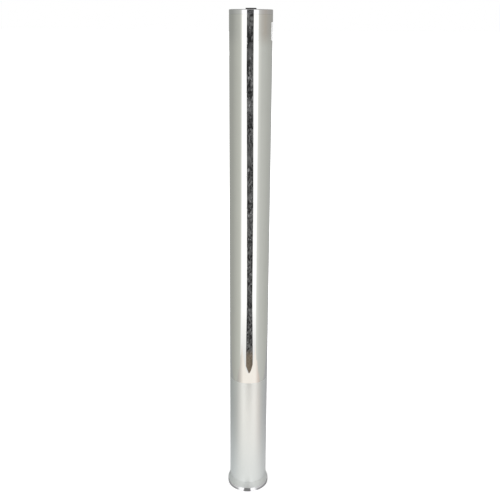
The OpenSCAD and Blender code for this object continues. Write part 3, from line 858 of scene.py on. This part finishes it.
class BOLLARD_OT_head_cap(bpy.types.Operator):
    """Builds the cap with its rounded edge, screw seats and lock recess"""

    bl_idname = "bollard.head_cap"
    bl_label = "Head cap"

    def execute(self, context):
        low = bottom_of("head_cap")
        spigot = BORE_R - FIT
        barrel = BARREL_R + FIT
        flange, flange_low = radius_of("lock_barrel") + PLAY, top_of("lock_barrel") - BARREL_FLANGE
        joint, edge, ease = 0.3 * MM, 1.5 * MM, 0.2 * MM
        profile = (
            [(barrel, low), (spigot, low), (spigot, TUBE_TOP), (POST_R - joint, TUBE_TOP),
             (POST_R, TUBE_TOP + joint)]
            + arc(POST_R - edge, CAP_TOP - edge, edge, 0, 90, 10)
            + [(flange + ease, CAP_TOP), (flange, CAP_TOP - ease), (flange, flange_low),
               (barrel, flange_low)]
        )
        cap = mesh_piece("cap", lathe(profile, 256))
        pivot = centre_of("cover_pivot")
        pivot_depth = 10 * MM
        cut(
            cap,
            *(mesh_piece("hole", lathe(screw_seat(low), 64, place)) for place in screw_places()),
            bar(
                PIVOT_R + FIT, (pivot.x, pivot.y, CAP_TOP - pivot_depth),
                (pivot.x, pivot.y, CAP_TOP + PAST),
            ),
        )
        smooth(cap, 24)
        dress(cap, "polished_stainless")
        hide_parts("head_cap")
        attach(cap, "post")
        return {"FINISHED"}


def screw_seat(low):
    """Profile of the hole for a cap screw: its shank, its sloping head and the way in from above."""
    shank, head = SCREW_R + PLAY, SCREW_HEAD_R + PLAY
    sunk = 0.1 * MM
    seat_top = top_of("cap_screws") - sunk
    return [
        (0, low - PAST), (shank, low - PAST), (shank, seat_top - (head - shank)),
        (head, seat_top), (head, CAP_TOP + PAST), (0, CAP_TOP + PAST),
    ]


def screw_places():
    """Centres of the cap screws, the first at the front."""
    pitch = -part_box("cap_screws")[0].y - SCREW_HEAD_R
    turns = [math.radians(a) for a in (-90, 30, 150)]
    return [(pitch * math.cos(a), pitch * math.sin(a)) for a in turns]


class BOLLARD_OT_dust_cover(bpy.types.Operator):
    """Builds the moulded dust cover that swings aside from the key socket"""

    bl_idname = "bollard.dust_cover"
    bl_label = "Dust cover"

    def execute(self, context):
        low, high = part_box("dust_cover")
        pivot_y = centre_of("cover_pivot").y
        lower, upper = 0.25 * MM, 0.7 * MM
        dished, dish = 3.2 * MM, 0.12 * MM
        levels = (
            [(lower, low.z), (0, low.z + lower)]
            + [(upper - x, z) for x, z in arc(0, high.z - upper, upper, 0, 90, 5)]
            + [(dished, high.z - dish)]
        )
        cover = mesh_piece("cover", stacked([
            [(x, y, z) for x, y in cover_outline(high.x, high.y - pivot_y, pivot_y, shrink)]
            for shrink, z in levels
        ]))
        pocket = 1.2 * MM
        above = high.z + PAST
        cut(
            cover,
            bar(radius_of("cover_pivot") + FREE, (0, pivot_y, high.z - pocket), (0, pivot_y, above)),
            bar(PIVOT_R + FIT, (0, pivot_y, low.z - PAST), (0, pivot_y, above)),
        )
        smooth(cover, 30)
        dress(cover, "cover_plastic")
        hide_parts("dust_cover")
        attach(cover, "cover")
        return {"FINISHED"}


def cover_outline(disc, ear, pivot_y, shrink):
    """Outline of the cover: a disc and an ear joined by straight sides, smaller all round by shrink."""
    lean = math.degrees(math.asin((disc - ear) / pivot_y))
    front = arc(0, 0, disc - shrink, -180 - lean, lean, 40)
    back = arc(0, pivot_y, ear - shrink, lean, 180 - lean, 20)
    return front + back


def stacked(outlines):
    """A closed form from level outlines with as many points each, the lowest first."""
    bm = bmesh.new()
    rings = [[bm.verts.new(point) for point in outline] for outline in outlines]
    for low, high in zip(rings, rings[1:]):
        for i in range(len(low)):
            j = (i + 1) % len(low)
            bm.faces.new((low[i], low[j], high[j], high[i]))
    bm.faces.new(rings[0][::-1])
    bm.faces.new(rings[-1])
    return bm


class BOLLARD_OT_blank_label(bpy.types.Operator):
    """Builds the blank label with rounded corners"""

    bl_idname = "bollard.blank_label"
    bl_label = "Blank label"

    def execute(self, context):
        low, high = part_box("blank_label")
        start, sweep = math.radians(-23.5), math.radians(75)
        inner = POST_R + FIT
        thickness = 0.2 * MM
        outer = inner + thickness
        width, height = sweep * outer, high.z - low.z
        corner = 2.5 * MM
        columns = 48
        bm = bmesh.new()
        bm.faces.new([bm.verts.new((x, y, 0)) for x, y in round_corners(width, height, corner)])
        for i in range(1, columns):
            bmesh.ops.bisect_plane(
                bm, geom=bm.verts[:] + bm.edges[:] + bm.faces[:],
                plane_co=(width * i / columns, 0, 0), plane_no=(1, 0, 0),
            )
        raised = bmesh.ops.extrude_face_region(bm, geom=bm.faces[:])
        for item in raised["geom"]:
            if isinstance(item, bmesh.types.BMVert):
                item.co.z = thickness
        for vertex in bm.verts:
            a = start + vertex.co.x / outer
            r = inner + vertex.co.z
            vertex.co = (r * math.cos(a), r * math.sin(a), low.z + vertex.co.y)
        label = mesh_piece("label", bm)
        smooth(label, 40)
        dress(label, "label_vinyl")
        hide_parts("blank_label")
        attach(label, "post")
        return {"FINISHED"}


def round_corners(width, height, r):
    """Outline of a flat sheet with round corners, from its lower left corner at (0, 0)."""
    return (
        arc(width - r, height - r, r, 0, 90, 6) + arc(r, height - r, r, 90, 180, 6)
        + arc(r, r, r, 180, 270, 6) + arc(width - r, r, r, 270, 360, 6)
    )


# Width of the worked edge by slot.
SOFT_EDGES = {
    "polished_stainless": 0.15 * MM,
    "zinc_steel": 0.5 * MM,
    "turned_steel": 0.25 * MM,
    "block_aluminium": 0.4 * MM,
    "lock_brass": 0.15 * MM,
    "rubber": 0.3 * MM,
    "nylon": 0.4 * MM,
    "black_paint": 0.6 * MM,
    "hard_chrome": 0.3 * MM,
}


def ease_edges(node, width):
    """Breaks the sharp edges of a piece, as a deburred or moulded edge is, with modifiers only."""
    weld = node.modifiers.new("weld", "WELD")
    weld.merge_threshold = 0.002 * MM
    flat = node.modifiers.new("flat", "DECIMATE")
    flat.decimate_type = "DISSOLVE"
    flat.angle_limit = math.radians(0.3)
    bevel = node.modifiers.new("bevel", "BEVEL")
    bevel.width = width
    bevel.segments = 2
    bevel.limit_method = "ANGLE"
    bevel.angle_limit = math.radians(40)
    bevel.harden_normals = True


class BOLLARD_OT_carried_nodes(bpy.types.Operator):
    """Gives every piece whose shape is taken from the frame its finish"""

    bl_idname = "bollard.carried_nodes"
    bl_label = "Inner pieces"

    def execute(self, context):
        slots = {entry["node"]: entry["material_slot"] for entry in frame["record"]["subparts"]}
        looks = finishes()
        for name, node in frame["nodes"].items():
            node.data.materials.clear()
            node.data.materials.append(looks[slots[name]])
            if slots[name] in SOFT_EDGES:
                ease_edges(node, SOFT_EDGES[slots[name]])
        return {"FINISHED"}


class BOLLARD_PT_sidebar(bpy.types.Panel):
    """Lists the steps that build the bollard, and its sizes and colours"""

    bl_idname = "BOLLARD_PT_sidebar"
    bl_label = "Retractable Bollard"
    bl_space_type = "VIEW_3D"
    bl_region_type = "UI"
    bl_category = "Bollard"

    def draw(self, context):
        layout = self.layout
        for operator in OPERATORS:
            layout.operator(operator.bl_idname)
        for name, group in GROUPS.items():
            box = layout.box()
            for prop in group.__annotations__:
                box.prop(getattr(context.scene, name), prop)


OPERATORS = (
    BOLLARD_OT_stage,
    BOLLARD_OT_carried_nodes,
    BOLLARD_OT_post_tube,
    BOLLARD_OT_stop_collar,
    BOLLARD_OT_head_cap,
    BOLLARD_OT_dust_cover,
    BOLLARD_OT_blank_label,
)
CLASSES = (*GROUPS.values(), *OPERATORS, BOLLARD_PT_sidebar)


def register():
    """Registers the classes and adds the property groups to the scene."""
    for cls in CLASSES:
        bpy.utils.register_class(cls)
    for name, group in GROUPS.items():
        setattr(bpy.types.Scene, name, PointerProperty(type=group))


def unregister():
    """Removes what register added."""
    for name in GROUPS:
        delattr(bpy.types.Scene, name)
    for cls in reversed(CLASSES):
        bpy.utils.unregister_class(cls)


def main():
    register()
    for operator in OPERATORS:
        step = operator.bl_idname.split(".")[1]
        getattr(bpy.ops.bollard, step)()


if __name__ == "__main__":
    main()
